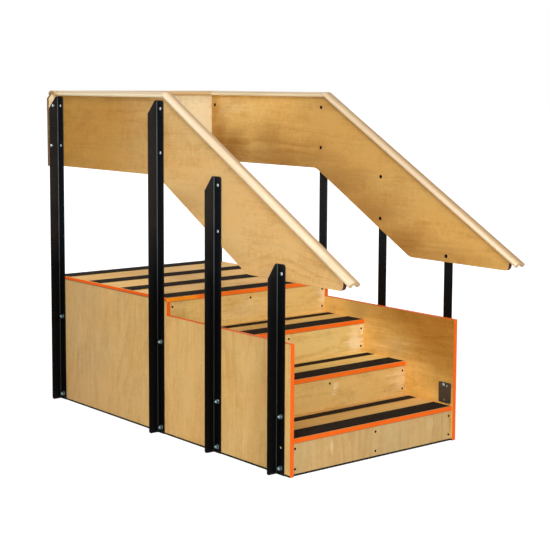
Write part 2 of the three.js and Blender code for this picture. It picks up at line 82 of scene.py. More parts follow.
def tinted(colour, red, green, blue):
    """A linear colour with its three channels scaled, none of them past 1."""
    return (*(min(value * gain, 1.0) for value, gain in zip(colour, (red, green, blue))), 1.0)


# ---------------------------------------------------------------- shader graphs


class Graph:
    """A node tree, with short calls for the nodes that the finishes are made of."""

    def __init__(self, owner, output):
        owner.use_nodes = True
        self.owner = owner
        self.tree = owner.node_tree
        self.tree.nodes.clear()
        self.output = self.node(output)
        coordinates = self.node("ShaderNodeTexCoord").outputs
        self.place = coordinates["Object"]
        self.normal = coordinates["Normal"]
        self.direction = coordinates["Generated"]

    def node(self, kind):
        return self.tree.nodes.new(kind)

    def put(self, socket, value):
        if isinstance(value, bpy.types.NodeSocket):
            self.tree.links.new(value, socket)
        else:
            socket.default_value = value

    def fill(self, node, *values):
        """Sets or links a node's first sockets, and gives its first output."""
        for socket, value in zip(node.inputs, values):
            self.put(socket, value)
        return node.outputs[0]

    def math(self, operation, a, b=0.0, c=0.0, clamp=False):
        node = self.node("ShaderNodeMath")
        node.operation = operation
        node.use_clamp = clamp
        return self.fill(node, a, b, c)

    def add(self, a, b):
        return self.math("ADD", a, b)

    def times(self, a, b):
        return self.math("MULTIPLY", a, b)

    def scaled(self, a, gain, base):
        return self.math("MULTIPLY_ADD", a, gain, base)

    def ramp(self, value, low, high, to_low=0.0, to_high=1.0, smooth=True):
        node = self.node("ShaderNodeMapRange")
        node.interpolation_type = "SMOOTHSTEP" if smooth else "LINEAR"
        return self.fill(node, value, low, high, to_low, to_high)

    def split(self, vector):
        node = self.node("ShaderNodeSeparateXYZ")
        self.put(node.inputs[0], vector)
        return node.outputs

    def join(self, x, y, z):
        return self.fill(self.node("ShaderNodeCombineXYZ"), x, y, z)

    def noise(self, vector, scale=1.0, detail=2.0, roughness=0.5, distortion=0.0):
        node = self.node("ShaderNodeTexNoise")
        self.put(node.inputs["Vector"], vector)
        node.inputs["Scale"].default_value = scale
        node.inputs["Detail"].default_value = detail
        node.inputs["Roughness"].default_value = roughness
        node.inputs["Distortion"].default_value = distortion
        return node.outputs[0]

    def cells(self, vector, scale):
        node = self.node("ShaderNodeTexVoronoi")
        self.put(node.inputs["Vector"], vector)
        node.inputs["Scale"].default_value = scale
        return node.outputs

    def mix(self, factor, a, b):
        """A colour between a and b."""
        node = self.node("ShaderNodeMix")
        node.data_type = "RGBA"
        self.put(node.inputs[0], factor)
        self.put(node.inputs[6], a)
        self.put(node.inputs[7], b)
        return node.outputs[2]

    def blend(self, factor, a, b):
        """A number between a and b."""
        node = self.node("ShaderNodeMix")
        self.put(node.inputs[0], factor)
        self.put(node.inputs[2], a)
        self.put(node.inputs[3], b)
        return node.outputs[0]

    def seen(self):
        """1 for camera, glossy and transmission rays, 0 for the light that surfaces scatter."""
        rays = self.node("ShaderNodeLightPath").outputs
        seen = self.math("MAXIMUM", rays["Is Camera Ray"], rays["Is Glossy Ray"])
        return self.math("MAXIMUM", seen, rays["Is Transmission Ray"])

    def bump(self, height, distance, strength=1.0):
        node = self.node("ShaderNodeBump")
        node.inputs["Strength"].default_value = strength
        node.inputs["Distance"].default_value = distance
        self.put(node.inputs["Height"], height)
        return node.outputs[0]

    def surface(self, colour, roughness, normal, **numbers):
        shader = self.node("ShaderNodeBsdfPrincipled")
        self.put(shader.inputs["Base Color"], colour)
        self.put(shader.inputs["Roughness"], roughness)
        self.put(shader.inputs["Normal"], normal)
        for name, number in numbers.items():
            shader.inputs[name.replace("_", " ")].default_value = number
        self.put(self.output.inputs[0], shader.outputs[0])
        return self.owner


def material_graph(name):
    """An empty graph for a new material."""
    return Graph(bpy.data.materials.new(name), "ShaderNodeOutputMaterial")


KNOT_CELLS = 3.4  # cells a metre, each with one knot at most


class Board:
    """One board's coordinates in metres, along and across its grain and through it, and the
    patterns that are laid out on them."""

    def __init__(self, graph, grain, thick, seed):
        self.graph, self.seed = graph, seed
        self.xyz = graph.split(graph.place)
        across = ({"x", "y", "z"} - {grain, thick}).pop()
        self.along, self.across, self.through = (
            self.xyz[AXES[axis]] for axis in (grain, across, thick))
        self.depth = graph.times(self.through, 14.0)

    def field(self, along_scale, across_scale, offset, detail=2.0, roughness=0.5, distortion=0.0):
        """Noise with its own scale along and across the grain."""
        graph, seed = self.graph, self.seed
        vector = graph.join(graph.scaled(self.along, along_scale, seed * 3.7 + offset),
                            graph.scaled(self.across, across_scale, seed * 1.9 - offset),
                            graph.add(self.depth, seed * 5.3 + offset * 0.7))
        return graph.noise(vector, 1.0, detail, roughness, distortion)

    def pin_knots(self, knots):
        """Where the knots are, dark with a softer rim, and how much they bend the figure."""
        graph, seed = self.graph, self.seed
        flat = graph.join(graph.scaled(self.along, 0.72, seed * 2.3),
                          graph.scaled(self.across, 1.0, seed * 4.1),
                          graph.scaled(self.through, 9.0, seed))
        cell = graph.cells(flat, KNOT_CELLS)
        spread = graph.math("DIVIDE", cell["Distance"], KNOT_CELLS)
        draw = graph.split(cell["Color"])
        chosen = graph.math("LESS_THAN", draw[0], 0.42 * knots)
        radius = graph.scaled(draw[1], 0.0052, 0.0020)
        spot = graph.ramp(graph.math("DIVIDE", spread, radius), 1.0, 2.1, 1.0, 0.0)
        bend = graph.ramp(spread, 0.0, 0.055, 1.0, 0.0)
        return graph.times(chosen, spot), graph.times(chosen, bend)

    def figure(self, bend):
        """Rotary-cut figure, broad and thin lines: the contours of slow fields that are drawn out
        along the grain."""
        graph = self.graph

        def contours(source, count, start, end):
            saw = graph.math("FRACT", graph.scaled(source, count, graph.times(bend, 1.5)))
            return graph.times(graph.ramp(saw, start, end), graph.ramp(saw, end, 1.0, 1.0, 0.0))

        wobble = self.field(6.0, 22.0, 7.0, 2.0, 0.5)
        slow = graph.scaled(wobble, 0.035, self.field(0.62, 3.3, 0.0, 2.0, 0.42, 0.35))
        quick = graph.scaled(wobble, 0.04, self.field(1.5, 8.5, 33.0, 2.0, 0.5, 0.4))
        broad_share = graph.ramp(self.field(0.9, 2.6, 21.0, 2.0), 0.36, 0.62, 0.25, 1.0)
        thin_share = graph.ramp(self.field(2.2, 7.0, 43.0, 2.0), 0.42, 0.60)
        return (graph.times(contours(slow, 15.0, 0.25, 0.92), broad_share),
                graph.times(contours(quick, 17.0, 0.62, 0.94), thin_share))

    def clouds(self, places, ragged, rough):
        """Patches with soft, ragged borders. Each place gives a centre and two radii, along and
        across the grain, and a strength."""
        graph = self.graph
        cover = 0.0
        for at_along, at_across, length, width, strength in places:
            u = graph.times(graph.add(self.along, -at_along), 1 / length)
            v = graph.times(graph.add(self.across, -at_across), 1 / width)
            reach = graph.math("SQRT", graph.add(graph.times(u, u), graph.times(v, v)))
            reach = graph.add(reach, graph.add(ragged, -0.9 * rough))
            cover = graph.math("MAXIMUM", graph.ramp(reach, 0.1, 1.4, strength, 0.0), cover)
        return cover

    def cut_edge(self, low_face, paint):
        """The plies, light and dark in turn from the low face up, or the paint over them."""
        graph = self.graph
        rough = graph.noise(graph.place, 420.0, 3.0, 0.6)
        if paint is not None:
            low, high = (linear(*(int(value * gain) for value in paint)) for gain in (0.78, 1.18))
            return graph.mix(graph.ramp(rough, 0.3, 0.7), low, high)
        ply = graph.times(graph.add(self.through, -low_face), PLIES / BOARD_THICKNESS)
        cross = graph.math("MODULO", graph.math("ABSOLUTE", graph.math("FLOOR", ply)), 2.0)
        cross = graph.scaled(graph.add(rough, -0.5), 0.5, cross)
        return graph.mix(cross, linear(214, 178, 124), linear(150, 104, 58))


def plywood(name, node, grain, thick, seed, tone, far_tone=None, fade=None, figure=1.0, ripple=1.0,
            knots=1.0, streak=1.0, edge=None, sheen=0.14, stains_and_shade=(), wear_and_painted_light=(), high_face=None,
            nosing=None):
    """Varnished birch plywood for one board.

    tone is the face's mean colour; far_tone is reached between the two places along the direction
    that fade names, on some boards as painted shade. figure, ripple and streak are the strengths of
    the contour lines, of the curl and of the fibres, knots how many pin knots there are. The brown
    clouds are stains and painted shadow, the pale ones wear and painted light, as Board.clouds
    takes them. high_face is the tone of the face on the thickness axis' high side, nosing the
    height under which a thin painted shadow line runs, sheen the varnish's specular level. Cut
    edges show the plies, or the tone edge where they are painted."""
    graph = material_graph(name)
    board = Board(graph, grain, thick, seed)
    field = board.field
    knot, bend = board.pin_knots(knots)
    lines, thin = board.figure(bend)
    fibres = field(11.0, 250.0, 3.0, 3.0, 0.62)
    streaks = field(1.7, 56.0, 11.0, 4.0, 0.6, 0.5)
    flecks = graph.ramp(field(60.0, 560.0, 5.0, 1.0), 0.62, 0.74)
    curl = field(58.0, 40.0, 13.0, 3.0, 0.6, 0.6)
    waves = graph.times(field(24.0, 6.0, 51.0, 2.0, 0.5, 1.2),
                        graph.ramp(field(2.5, 4.0, 57.0), 0.45, 0.6))
    mottle = field(6.0, 13.0, 17.0, 3.0, 0.58)
    broad = field(0.8, 1.7, 29.0, 1.0)
    pale = graph.ramp(field(26.0, 90.0, 71.0, 3.0, 0.65), 0.56, 0.72)
    warm = graph.ramp(field(2.2, 5.5, 63.0, 3.0, 0.6), 0.35, 0.65)

    # How dark all of these make the wood, and its tone there
    dark = graph.scaled(lines, 0.26 * figure, 0.24)
    dark = graph.scaled(thin, 0.10 * figure, dark)
    for source, weight in ((fibres, 1.15 * streak), (streaks, 0.78 * streak),
                           (curl, 0.62 * ripple), (waves, 0.28 * ripple),
                           (mottle, 0.95), (broad, 0.60)):
        dark = graph.add(dark, graph.scaled(source, weight, -0.5 * weight))
    dark = graph.add(dark, graph.times(flecks, 0.20))
    dark = graph.math("ADD", dark, graph.times(pale, -0.30), clamp=True)

    def wood(base):
        base = linear(*base)
        plain = graph.mix(dark, tinted(base, 1.10, 1.13, 1.20), tinted(base, 0.78, 0.68, 0.51))
        golden = graph.mix(dark, tinted(base, 1.13, 1.09, 1.06), tinted(base, 0.82, 0.66, 0.44))
        return graph.mix(warm, plain, golden)

    face = wood(tone)
    if far_tone is not None:
        way, start, end = fade
        spot = graph.scaled(broad, 0.6 * (end - start), -0.3 * (end - start))
        for part, value in zip(board.xyz, way):
            spot = graph.scaled(part, value, spot)
        face = graph.mix(graph.ramp(spot, start, end), face, wood(far_tone))

    # Stains and painted shadow, wear and painted light, knots, then what only one face or the cut
    # edges have
    brown = tinted(linear(*tone), 0.43, 0.25, 0.03)
    for places, rough, patch in ((stains_and_shade, 1.0, brown), (wear_and_painted_light, 3.0, linear(250, 230, 190))):
        if places:
            ragged = graph.scaled(mottle, rough, graph.times(streaks, rough * 0.8))
            face = graph.mix(board.clouds(places, ragged, rough), face, patch)
    face = graph.mix(graph.times(knot, 0.8), face, linear(128, 74, 32))
    normal = graph.split(graph.normal)[AXES[thick]]
    if high_face is not None:
        face = graph.mix(graph.math("GREATER_THAN", normal, 0.5), face, wood(high_face))
    if nosing is not None:
        line = graph.ramp(board.xyz[2], nosing - 0.005, nosing - 0.002, 0.0, 0.62)
        face = graph.mix(line, face, linear(70, 58, 34))
    on_edge = graph.math("LESS_THAN", graph.math("ABSOLUTE", normal), 0.72)
    colour = graph.mix(on_edge, face, board.cut_edge(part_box(node)[0][AXES[thick]], edge))

    height = graph.add(graph.times(fibres, 0.7), graph.times(flecks, -0.5))
    height = graph.add(height, graph.times(lines, -0.3))
    return graph.surface(colour, graph.scaled(streaks, 0.14, 0.38),
                         graph.bump(height, 0.00012, 0.55), Specular_IOR_Level=sheen)


def hardwood(name, grain, seed, tone, slope=0.0, painted_shade_across=None, painted_lit_flank=None):
    """Pale varnished solid wood: straight fibres along the length, which slope (radians) tilts
    upwards, and end grain on the cut ends. The argument after slope names two places on the X axis
    and the tone reached at the second one: painted shade across the crown, darker towards +X. The
    last argument is the tone of the upright sides: painted light, paler than the top."""
    graph = material_graph(name)
    xyz = graph.split(graph.place)
    normal = graph.split(graph.normal)
    along = xyz[AXES[grain]]
    others = [xyz[AXES[axis]] for axis in "xyz" if axis != grain]
    facing = graph.math("ABSOLUTE", normal[AXES[grain]])
    if slope:
        run, rise = math.cos(slope), math.sin(slope)
        along = graph.add(graph.times(xyz[1], run), graph.times(xyz[2], rise))
        others[1] = graph.add(graph.times(xyz[2], run), graph.times(xyz[1], -rise))
        facing = graph.math("ABSOLUTE", graph.add(graph.times(normal[1], run),
                                                  graph.times(normal[2], rise)))

    def field(along_scale, across_scale, offset, detail=2.0, roughness=0.5):
        vector = graph.join(graph.scaled(along, along_scale, seed * 3.1 + offset),
                            graph.scaled(others[0], across_scale, seed * 1.3 + offset),
                            graph.scaled(others[1], across_scale, seed * 2.9 - offset))
        return graph.noise(vector, 1.0, detail, roughness)

    rings = graph.math("FRACT", graph.times(field(0.5, 9.0, 0.0, 1.0), 9.0))
    rings = graph.times(graph.ramp(rings, 0.2, 0.95), graph.ramp(rings, 0.95, 1.0, 1.0, 0.0))
    fibres = field(7.0, 330.0, 3.0, 3.0, 0.6)
    streaks = field(1.2, 60.0, 9.0, 2.0)
    broad = field(1.0, 6.0, 15.0, 1.0)
    dark = graph.scaled(rings, 0.24, 0.24)
    for source, weight in ((fibres, 0.60), (streaks, 0.50), (broad, 0.36)):
        dark = graph.add(dark, graph.scaled(source, weight, -0.5 * weight))
    dark = graph.math("ADD", dark, 0.0, clamp=True)

    def wood(base):
        base = linear(*base)
        return graph.mix(dark, tinted(base, 1.08, 1.10, 1.14), tinted(base, 0.80, 0.72, 0.60))

    face = wood(tone)
    # Painted shade: the tone darkens across the crown towards +X.
    if painted_shade_across is not None:
        start, end, far_tone = painted_shade_across
        spot = graph.scaled(graph.add(streaks, -0.5), 0.010, xyz[0])
        face = graph.mix(graph.ramp(spot, start, end), face, wood(far_tone))
    # Painted light: the upright sides take a paler tone than the top.
    if painted_lit_flank is not None:
        face = graph.mix(graph.ramp(normal[2], 0.1, 0.6), wood(painted_lit_flank), face)
    on_end = graph.math("GREATER_THAN", facing, 0.75)
    pores = graph.noise(graph.place, 900.0, 2.0, 0.6)
    base = linear(*tone)
    end = graph.mix(graph.ramp(pores, 0.35, 0.7), tinted(base, 0.62, 0.52, 0.38),
                    tinted(base, 0.42, 0.33, 0.22))
    colour = graph.mix(graph.times(on_end, 0.85), face, end)
    return graph.surface(colour, graph.scaled(streaks, 0.12, 0.30),
                         graph.bump(fibres, 0.00010, 0.45), Specular_IOR_Level=0.3,
                         Coat_Weight=0.1, Coat_Roughness=0.25)


def banding(name, tone, end_tone=None, side_tone=None):
    """Satin plastic edge banding: a faint drag along it and small scuffs. end_tone is that of the
    deck band's left end; side_tone is that of its sides, whose foot stays bare wood."""
    graph = material_graph(name)
    xyz = graph.split(graph.place)
    cloud = graph.noise(graph.place, 9.0, 2.0)
    grit = graph.noise(graph.place, 700.0, 2.0, 0.6)
    scuff = graph.ramp(graph.noise(graph.place, 46.0, 4.0, 0.7), 0.64, 0.78)

    def plastic(base):
        base = linear(*base)
        return graph.mix(cloud, tinted(base, 1.0, 1.12, 1.2), tinted(base, 0.92, 0.86, 0.8))

    colour = plastic(tone)
    if end_tone is not None:
        left_end = graph.ramp(xyz[0], -0.33, -0.29, 1.0, 0.0)
        colour = graph.mix(left_end, colour, plastic(end_tone))
    if side_tone is not None:
        normal = graph.split(graph.normal)
        on_side = graph.ramp(graph.math("ABSOLUTE", normal[0]), 0.6, 0.8)
        shadow = graph.ramp(xyz[2], 0.5935, 0.5945)
        foot = graph.mix(shadow, linear(190, 152, 96), linear(78, 50, 28))
        side = graph.mix(graph.ramp(xyz[2], 0.5952, 0.5962), foot, plastic(side_tone))
        colour = graph.mix(on_side, colour, side)
    colour = graph.mix(graph.times(scuff, 0.08), colour, tinted(linear(*tone), 1.0, 1.7, 3.5))
    roughness = graph.add(graph.scaled(grit, 0.16, 0.34), graph.times(scuff, 0.12))
    return graph.surface(colour, roughness, graph.bump(grit, 0.00004, 0.4),
                         Specular_IOR_Level=0.06)


def coated(graph, cloud, colour):
    """Powder coat over steel: fine orange peel, a little dust and rubbed spots."""
    peel = graph.noise(graph.place, 620.0, 2.0, 0.55)
    rubbed = graph.ramp(graph.noise(graph.place, 32.0, 5.0, 0.72), 0.62, 0.80)
    colour = graph.mix(graph.times(rubbed, 0.06), colour, linear(58, 57, 56))
    roughness = graph.add(graph.scaled(cloud, 0.12, 0.30), graph.times(rubbed, 0.14))
    return graph.surface(colour, roughness, graph.bump(peel, 0.00010, 0.4),
                         Specular_IOR_Level=0.06)


def powder_coat(name, tone):
    """Powder coat of one tone, a little cloudy."""
    graph = material_graph(name)
    cloud = graph.noise(graph.place, 5.0, 3.0, 0.6)
    tone = linear(*tone)
    return coated(graph, cloud, graph.mix(cloud, tinted(tone, 0.7, 0.7, 0.7),
                                          tinted(tone, 1.35, 1.35, 1.35)))


def post_coat(name):
    """Black powder coat on the angle posts, with painted light: a painted highlight along rounded
    edges and in the inner corner and a painted sheen on the flanges that face the steps' front,
    both fainter lower down, and the coat itself darker towards the floor."""
    graph = material_graph(name)
    level = graph.split(graph.place)[2]
    normal = graph.split(graph.normal)
    cloud = graph.noise(graph.place, 5.0, 3.0, 0.6)
    highlight_breakup = graph.noise(graph.place, 14.0, 4.0, 0.65)
    above = graph.scaled(cloud, 0.3, graph.add(level, -0.15))
    high = graph.ramp(above, 0.5, 1.0)
    beside_rails = graph.ramp(above, 0.62, 1.08)
    # Painted sheen on the faces towards the front, stronger higher up beside the rails.
    front = graph.ramp(graph.times(normal[1], -1.0), 0.55, 0.9)
    corner = graph.ramp(graph.math("MINIMUM", graph.math("ABSOLUTE", normal[0]),
                                   graph.math("ABSOLUTE", normal[1])), 0.15, 0.55)
    plain = graph.mix(high, linear(8, 8, 8), linear(20, 22, 25))
    front_sheen = graph.mix(beside_rails, linear(9, 8, 8), linear(42, 38, 34))
    colour = graph.mix(graph.times(front, graph.ramp(cloud, 0.25, 0.75, 0.6, 1.0)), plain, front_sheen)
    # Painted highlight on the rounded edges and the inner corner, stronger higher up.
    painted_highlight = graph.mix(high, linear(46, 46, 46), linear(90, 97, 102))
    colour = graph.mix(graph.times(corner, graph.ramp(highlight_breakup, 0.25, 0.65, 0.7, 1.0)), colour, painted_highlight)
    return coated(graph, cloud, colour)


def grip_tape(name, tone):
    """Gritty anti-slip tape: sharp grains, worn paler in places."""
    graph = material_graph(name)
    grains = graph.cells(graph.place, 620.0)
    grit = graph.ramp(grains["Distance"], 0.1, 0.7, 1.0, 0.0)
    speck = graph.math("GREATER_THAN", graph.split(grains["Color"])[0], 0.82)
    wear_and_painted_light = graph.ramp(graph.noise(graph.place, 6.5, 4.0, 0.6), 0.42, 0.72)
    tone = linear(*tone)
    colour = graph.mix(grit, tinted(tone, 0.62, 0.62, 0.62), tinted(tone, 1.3, 1.3, 1.3))
    colour = graph.mix(graph.times(speck, 0.22), colour, linear(112, 104, 96))
    colour = graph.mix(graph.times(wear_and_painted_light, 0.16), colour, linear(78, 68, 58))
    return graph.surface(colour, 0.9, graph.bump(grit, 0.0006, 0.8), Specular_IOR_Level=0.03)


def rubber(name, tone):
    """Matt rubber with a little floor dust."""
    graph = material_graph(name)
    grain = graph.noise(graph.place, 380.0, 3.0, 0.6)
    dust = graph.ramp(graph.noise(graph.place, 24.0, 4.0, 0.65), 0.55, 0.8)
    colour = graph.mix(graph.times(dust, 0.3), linear(*tone), linear(62, 58, 54))
    return graph.surface(colour, graph.scaled(grain, 0.12, 0.72), graph.bump(grain, 0.0002, 0.6),
                         Specular_IOR_Level=0.2)


def metal(name, tone, metallic=1.0, low=0.24, high=0.42, spots=0.25, spot_tone=(96, 104, 104)):
    """Plated or coated steel: cloudy plating, fine turning marks and duller spots. Its roughness
    runs from low to high."""
    graph = material_graph(name)
    cloud = graph.noise(graph.place, 90.0, 3.0, 0.6)
    fine = graph.noise(graph.place, 2600.0, 2.0, 0.5)
    spot = graph.ramp(graph.noise(graph.place, 340.0, 4.0, 0.7), 0.56, 0.74)
    tone = linear(*tone)
    colour = graph.mix(cloud, tinted(tone, 1.12, 1.12, 1.12), tinted(tone, 0.84, 0.86, 0.88))
    colour = graph.mix(graph.times(spot, spots), colour, linear(*spot_tone))
    return graph.surface(colour, graph.ramp(cloud, 0.3, 0.7, low, high),
                         graph.bump(fine, 0.00003, 0.5), Metallic=metallic)


# ---------------------------------------------------------------- mesh making


class Shell:
    """Vertices and faces gathered from several forms, and the material number of each face."""

    def __init__(self):
        self.points, self.faces, self.slots = [], [], []

    def add(self, form, matrix, slot=0):
        points, faces = form
        start = len(self.points)
        self.points += [matrix @ Vector(p) for p in points]
        self.faces += [[start + i for i in face] for face in faces]
        self.slots += [slot] * len(faces)

    def piece(self, name, materials, slot_name, smooth=35.0):
        mesh = bpy.data.meshes.new(name)
        mesh.from_pydata(self.points, [], self.faces)
        for material in materials:
            mesh.materials.append(material)
        for polygon, slot in zip(mesh.polygons, self.slots):
            polygon.material_index = slot
            polygon.use_smooth = True
        mesh.update()
        mesh.set_sharp_from_angle(angle=math.radians(smooth))
        piece = bpy.data.objects.new(name, mesh)
        bpy.context.scene.collection.objects.link(piece)
        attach(piece, "root")
        return piece


class Rings:
    """A form made of rings of points round the Z axis, one above the other."""

    def __init__(self, sides):
        self.sides = sides
        self.points, self.faces, self.rings = [], [], []

    def ring(self, radius, height):
        """The radius may be a function of the turn, the height one of the radius."""
        start = len(self.points)
        for i in range(self.sides):
            turn = 2 * math.pi * i / self.sides
            r = radius(turn) if callable(radius) else radius
            z = height(r) if callable(height) else height
            self.points.append((r * math.cos(turn), r * math.sin(turn), z))
        self.rings.append(range(start, start + self.sides))

    def join(self, closed=False):
        """Faces from each ring to the next, and from the last to the first where closed."""
        following = self.rings[1:] + (self.rings[:1] if closed else [])
        for low, high in zip(self.rings, following):
            for i in range(self.sides):
                j = (i + 1) % self.sides
                self.faces.append([low[i], low[j], high[j], high[i]])

    def cover(self, ring, height, below=False):
        """A fan of faces from a ring to a point on the axis, seen from above or from below."""
        middle = len(self.points)
        self.points.append((0, 0, height))
        for i in range(self.sides):
            a, b = ring[i], ring[(i + 1) % self.sides]
            self.faces.append([b, a, middle] if below else [a, b, middle])

    def form(self):
        return self.points, self.faces


def revolved(profile, sides=28):
    """A profile of (radius, height) turned about Z. It starts and ends on the axis, or closes."""
    points, rings = [], []
    for radius, height in profile:
        if radius == 0:
            rings.append([len(points)] * sides)
            points.append((0, 0, height))
        else:
            rings.append(list(range(len(points), len(points) + sides)))
            for i in range(sides):
                turn = 2 * math.pi * i / sides
                points.append((radius * math.cos(turn), radius * math.sin(turn), height))
    faces = []
    for low, high in zip(rings, rings[1:]):
        for i in range(sides):
            j = (i + 1) % sides
            corners = []
            for corner in (low[i], low[j], high[j], high[i]):
                if corner not in corners:
                    corners.append(corner)
            if len(corners) > 2:
                faces.append(corners)
    return points, faces


def crown(radius, height, rim, steps, lip=0.0):
    """A button head's profile: a straight rim, then an arc that would end at the height on the
    axis, up to the radius lip."""
    rise = height - rim
    ball = (radius * radius + rise * rise) / (2 * rise)
    spread = math.asin(min(1.0, radius / ball))
    last = math.asin(lip / ball)
    profile = [(radius, 0), (radius, rim)]
    for i in range(1, steps + 1):
        angle = spread + (last - spread) * i / steps
        profile.append((ball * math.sin(angle), rim + ball * math.cos(angle) - (ball - rise)))
    return profile


def hexagon(corner):
    """The radius of a hexagon at each turn, from the radius of its corners."""
    flat = corner * math.cos(math.pi / 6)
    return lambda turn: flat / math.cos((turn + math.pi / 6) % (math.pi / 3) - math.pi / 6)


def dome_head(radius, height, rim):
    """A button head without a socket."""
    return revolved([(0, 0), *crown(radius, height, rim, 8)[:-1], (0, height)], 32)


def socket_head(radius, height, rim, socket, deep):
    """A button head with a hexagon socket."""
    head = Rings(36)
    profile = crown(radius, height, rim, 5, socket * 1.12)
    for ring_radius, level in profile:
        head.ring(ring_radius, level)
    top = profile[-1][1]
    head.ring(hexagon(socket), top)
    head.ring(hexagon(socket), top - deep)
    head.join()
    head.cover(head.rings[0], 0, below=True)
    head.cover(head.rings[-1], top - deep - socket * 0.25)
    return head.form()


def washer(outer, bore, thickness):
    soft = min(0.35 * MM, thickness * 0.3)
    return revolved([(bore, 0), (outer, 0), (outer, thickness - soft), (outer - soft, thickness),
                     (bore + soft, thickness), (bore, thickness - soft), (bore, 0)], 36)


def hex_nut(corner, bore, height):
    """A hexagon nut, its corners turned down at both ends, with a countersunk bore."""
    round_at = corner * math.cos(math.pi / 6) * 0.97
    fall = math.tan(math.radians(28))
    sink = bore * 0.12
    nut = Rings(48)
    nut.ring(bore, sink)
    nut.ring(bore + sink, 0.0)
    nut.ring(round_at, 0.0)
    nut.ring(hexagon(corner), lambda r: (r - round_at) * fall)
    nut.ring(hexagon(corner), lambda r: height - (r - round_at) * fall)
    nut.ring(round_at, height)
    nut.ring(bore + sink, height)
    nut.ring(bore, height - sink)
    nut.join(closed=True)
    return nut.form()


def thread(radius, start, end, pitch):
    """The threaded end of a bolt: a helical ridge, with a chamfered tip."""
    depth = pitch * 0.5
    bolt = Rings(24)
    steps = round((end - start) / pitch * 6)
    for k in range(steps + 1):
        height = start + (end - start) * k / steps
        widest = radius - max(0.0, height - (end - depth * 1.3))

        def ridge(turn):
            wave = abs(((height - start) / pitch - turn / (2 * math.pi)) % 1.0 * 2 - 1)
            return min(radius - depth * wave, widest)

        bolt.ring(ridge, height)
    bolt.join()
    bolt.cover(bolt.rings[-1], end + 0.15 * MM)
    bolt.cover(bolt.rings[0], start, below=True)
    return bolt.form()


def cross_screw(radius, sink, slot_width, slot_length, deep):
    """A countersunk head with a cross recess, its rim 0.3 mm proud of the face."""
    def cross(turn):
        a = (turn + math.pi / 4) % (math.pi / 2) - math.pi / 4
        along = slot_length / math.cos(a)
        beside = slot_width / max(abs(math.sin(a)), 1e-6)
        return min(along, max(min(beside, along), slot_width * 1.414))

    proud = 0.3 * MM
    screw = Rings(48)
    screw.ring(radius * 0.55, -sink)
    screw.ring(radius, -0.2 * MM)
    screw.ring(radius, proud * 0.4)
    screw.ring(radius * 0.95, proud)
    screw.ring(lambda turn: max(cross(turn), radius * 0.3), proud * 1.5)
    screw.ring(cross, proud * 1.2)
    screw.ring(lambda turn: cross(turn) * 0.6, proud - deep)
    screw.join()
    screw.cover(screw.rings[0], -sink, below=True)
    screw.cover(screw.rings[-1], proud - deep)
    return screw.form()


def rod(radius, length, sides):
    """A plain cylinder from the origin up."""
    return revolved([(0, 0), (radius, 0), (radius, length), (0, length)], sides)


def seat(point, direction, turn=0.0):
    """Stands a form on the point, its Z axis along the direction."""
    aim = Vector(direction).normalized().to_track_quat("Z", "Y").to_matrix().to_4x4()
    return Matrix.Translation(point) @ aim @ Matrix.Rotation(turn, 4, "Z")


WELD = 1e-5          # vertices nearer than this are one, in metres
FLAT = 0.4           # faces nearer than this in direction are one, in degrees
STRAY_NORMAL = 0.6   # a corner's normal that agrees less with its face is set back to it


def dressed(node, material, slot, bevel, limit=30.0, smooth=32.0):
    """A copy of a CAD node with edges rounded by bevel (mm) and its finish, standing for that
    node. Edges sharper than limit are rounded and those sharper than smooth stay hard, both in
    degrees."""
    source = frame["nodes"][node]
    mesh = bpy.data.meshes.new(node + "_visual")
    work = bmesh.new()
    work.from_mesh(source.data)
    bmesh.ops.remove_doubles(work, verts=work.verts, dist=WELD)
    bmesh.ops.dissolve_limit(work, angle_limit=math.radians(FLAT), verts=work.verts,
                             edges=work.edges)
    wide = [face for face in work.faces if len(face.verts) > 4]
    bmesh.ops.triangulate(work, faces=wide, quad_method="BEAUTY", ngon_method="BEAUTY")
    bmesh.ops.recalc_face_normals(work, faces=work.faces)
    work.to_mesh(mesh)
    work.free()
    mesh.materials.clear()
    mesh.materials.append(material)
    for polygon in mesh.polygons:
        polygon.use_smooth = True
        polygon.material_index = 0
    mesh.set_sharp_from_angle(angle=math.radians(smooth))
    piece = bpy.data.objects.new(node + "_piece", mesh)
    bpy.context.scene.collection.objects.link(piece)
    rounding = piece.modifiers.new("rounding", "BEVEL")
    rounding.width = bevel * MM
    rounding.segments = 2
    rounding.limit_method = "ANGLE"
    rounding.angle_limit = math.radians(limit)
    rounding.harden_normals = True
    rounding.use_clamp_overlap = False
    plain = piece.evaluated_get(bpy.context.evaluated_depsgraph_get())
    piece.data = bpy.data.meshes.new_from_object(plain)
    piece.modifiers.clear()
    normals = [corner.vector.copy() for corner in piece.data.corner_normals]
    for polygon in piece.data.polygons:
        for corner in polygon.loop_indices:
            if normals[corner].dot(polygon.normal) < STRAY_NORMAL:
                normals[corner] = polygon.normal.copy()
    piece.data.normals_split_custom_set(normals)
    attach(piece, "root")
    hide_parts(node)


# ---------------------------------------------------------------- finishes

SLOPE = math.atan(0.57)  # of the sloping rails

ORANGE = banding("orange_banding", (234, 98, 22))
STEP_ORANGE = banding("step_orange_banding", (243, 106, 27))
DECK_ORANGE = banding("deck_orange_banding", (252, 114, 30), (255, 146, 28), (255, 98, 12))
BLACK = post_coat("black_powder_coat")
TAPE = grip_tape("anti_slip_tape", (42, 35, 29))
RUBBER = rubber("base_rubber", (12, 12, 12))
ZINC = metal("bright_zinc", (166, 175, 178))
DULL_ZINC = metal("dull_zinc", (140, 159, 163))
BLACK_SCREW = powder_coat("black_oxide", (6, 6, 6))
PLATE = metal("plate_steel", (86, 76, 66), metallic=0.55, low=0.36, high=0.52, spots=0.35,
              spot_tone=(60, 46, 38))

# ---------------------------------------------------------------- boards

